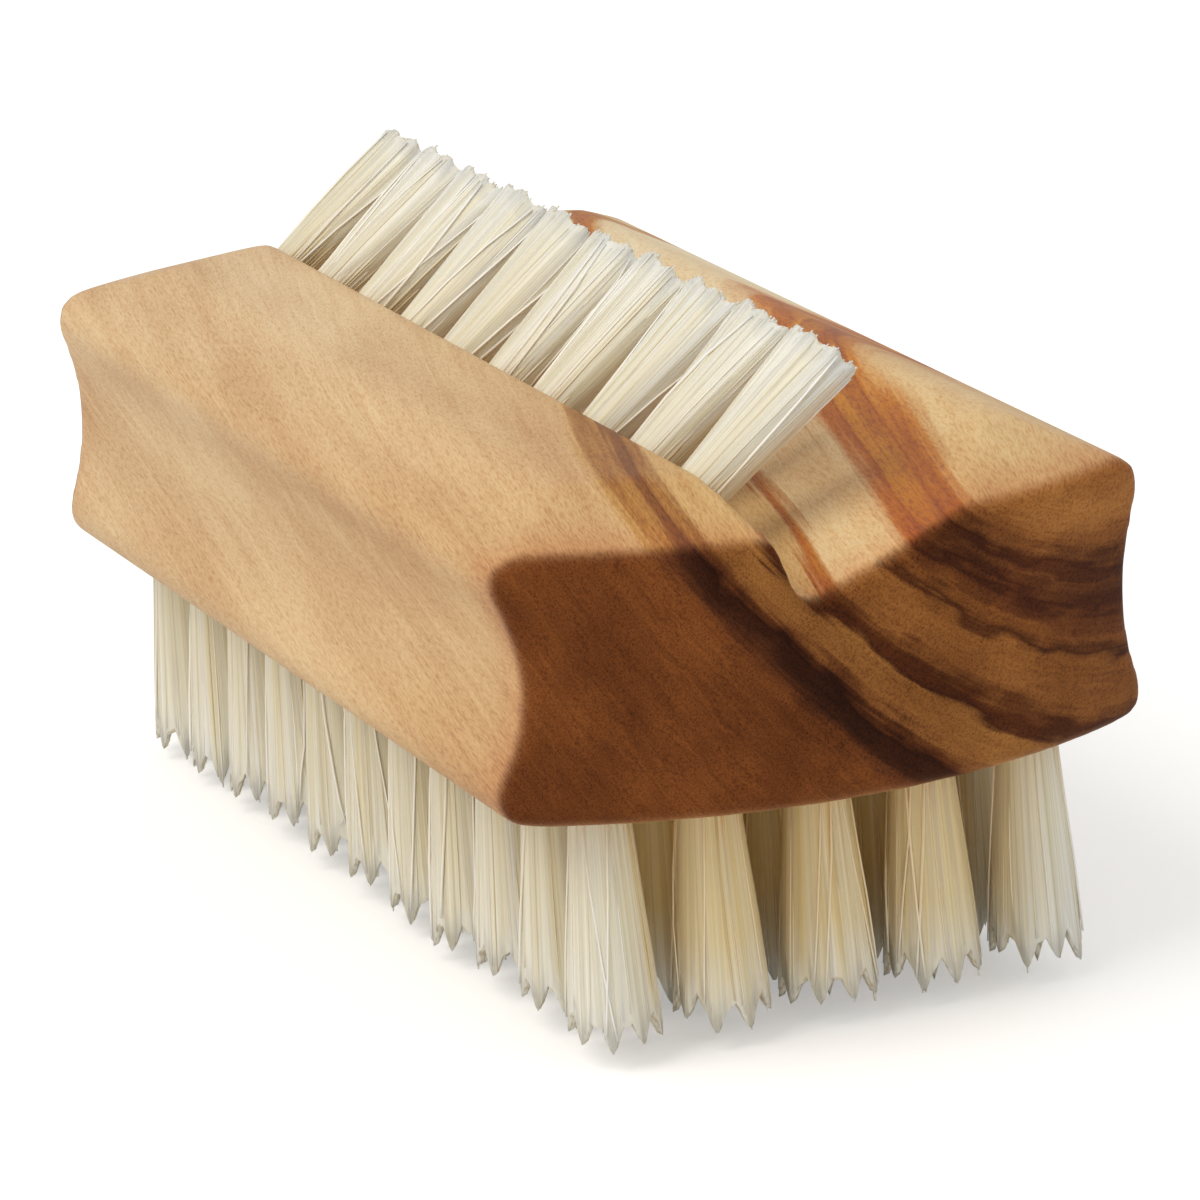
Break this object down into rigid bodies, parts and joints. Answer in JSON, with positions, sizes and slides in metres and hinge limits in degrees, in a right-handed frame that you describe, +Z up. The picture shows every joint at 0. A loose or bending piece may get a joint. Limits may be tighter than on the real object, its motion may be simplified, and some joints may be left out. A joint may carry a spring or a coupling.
{
  "type": "nail brush",
  "caption": "Hand nail brush: a grooved olive wood block with finger grips, a field of bristle tufts below and a leaning row of tufts in a V groove on top.",
  "frame": {"origin": "centre of the brush's footprint, on the plane of the lower bristle tips", "axes": "+X along the block's length towards the end with the larger view in the picture, +Y towards the gentle side of the top groove, +Z up, out of the grooved top"},
  "size_m": [0.095, 0.048, 0.0476],
  "materials": {
    "olive_wood": "sanded and oiled, satin",
    "bristle": "natural cream bristle, slightly glossy",
    "anchor_wire": "drawn flat wire"
  },
  "bodies": {
    "root": {"wood_block": "olive_wood", "top_tuft_01": "bristle", "top_tuft_02": "bristle", "top_tuft_03": "bristle", "top_tuft_04": "bristle", "top_tuft_05": "bristle", "top_tuft_06": "bristle", "top_tuft_07": "bristle", "top_tuft_08": "bristle", "top_tuft_09": "bristle", "top_tuft_10": "bristle", "left_tuft_01": "bristle", "left_tuft_02": "bristle", "left_tuft_03": "bristle", "left_tuft_04": "bristle", "left_tuft_05": "bristle", "left_tuft_06": "bristle", "left_tuft_07": "bristle", "left_tuft_08": "bristle", "left_tuft_09": "bristle", "left_tuft_10": "bristle", "left_tuft_11": "bristle", "right_tuft_01": "bristle", "right_tuft_02": "bristle", "right_tuft_03": "bristle", "right_tuft_04": "bristle", "right_tuft_05": "bristle", "right_tuft_06": "bristle", "right_tuft_07": "bristle", "right_tuft_08": "bristle", "right_tuft_09": "bristle", "right_tuft_10": "bristle", "right_tuft_11": "bristle", "inner_tufts_01": "bristle", "inner_tufts_02": "bristle", "inner_tufts_03": "bristle", "inner_tufts_04": "bristle", "inner_tufts_05": "bristle", "inner_tufts_06": "bristle", "inner_tufts_07": "bristle", "inner_tufts_08": "bristle", "inner_tufts_09": "bristle", "inner_tufts_10": "bristle", "inner_tufts_11": "bristle", "top_anchors": "anchor_wire", "lower_anchors": "anchor_wire"}
  },
  "joints": []
}
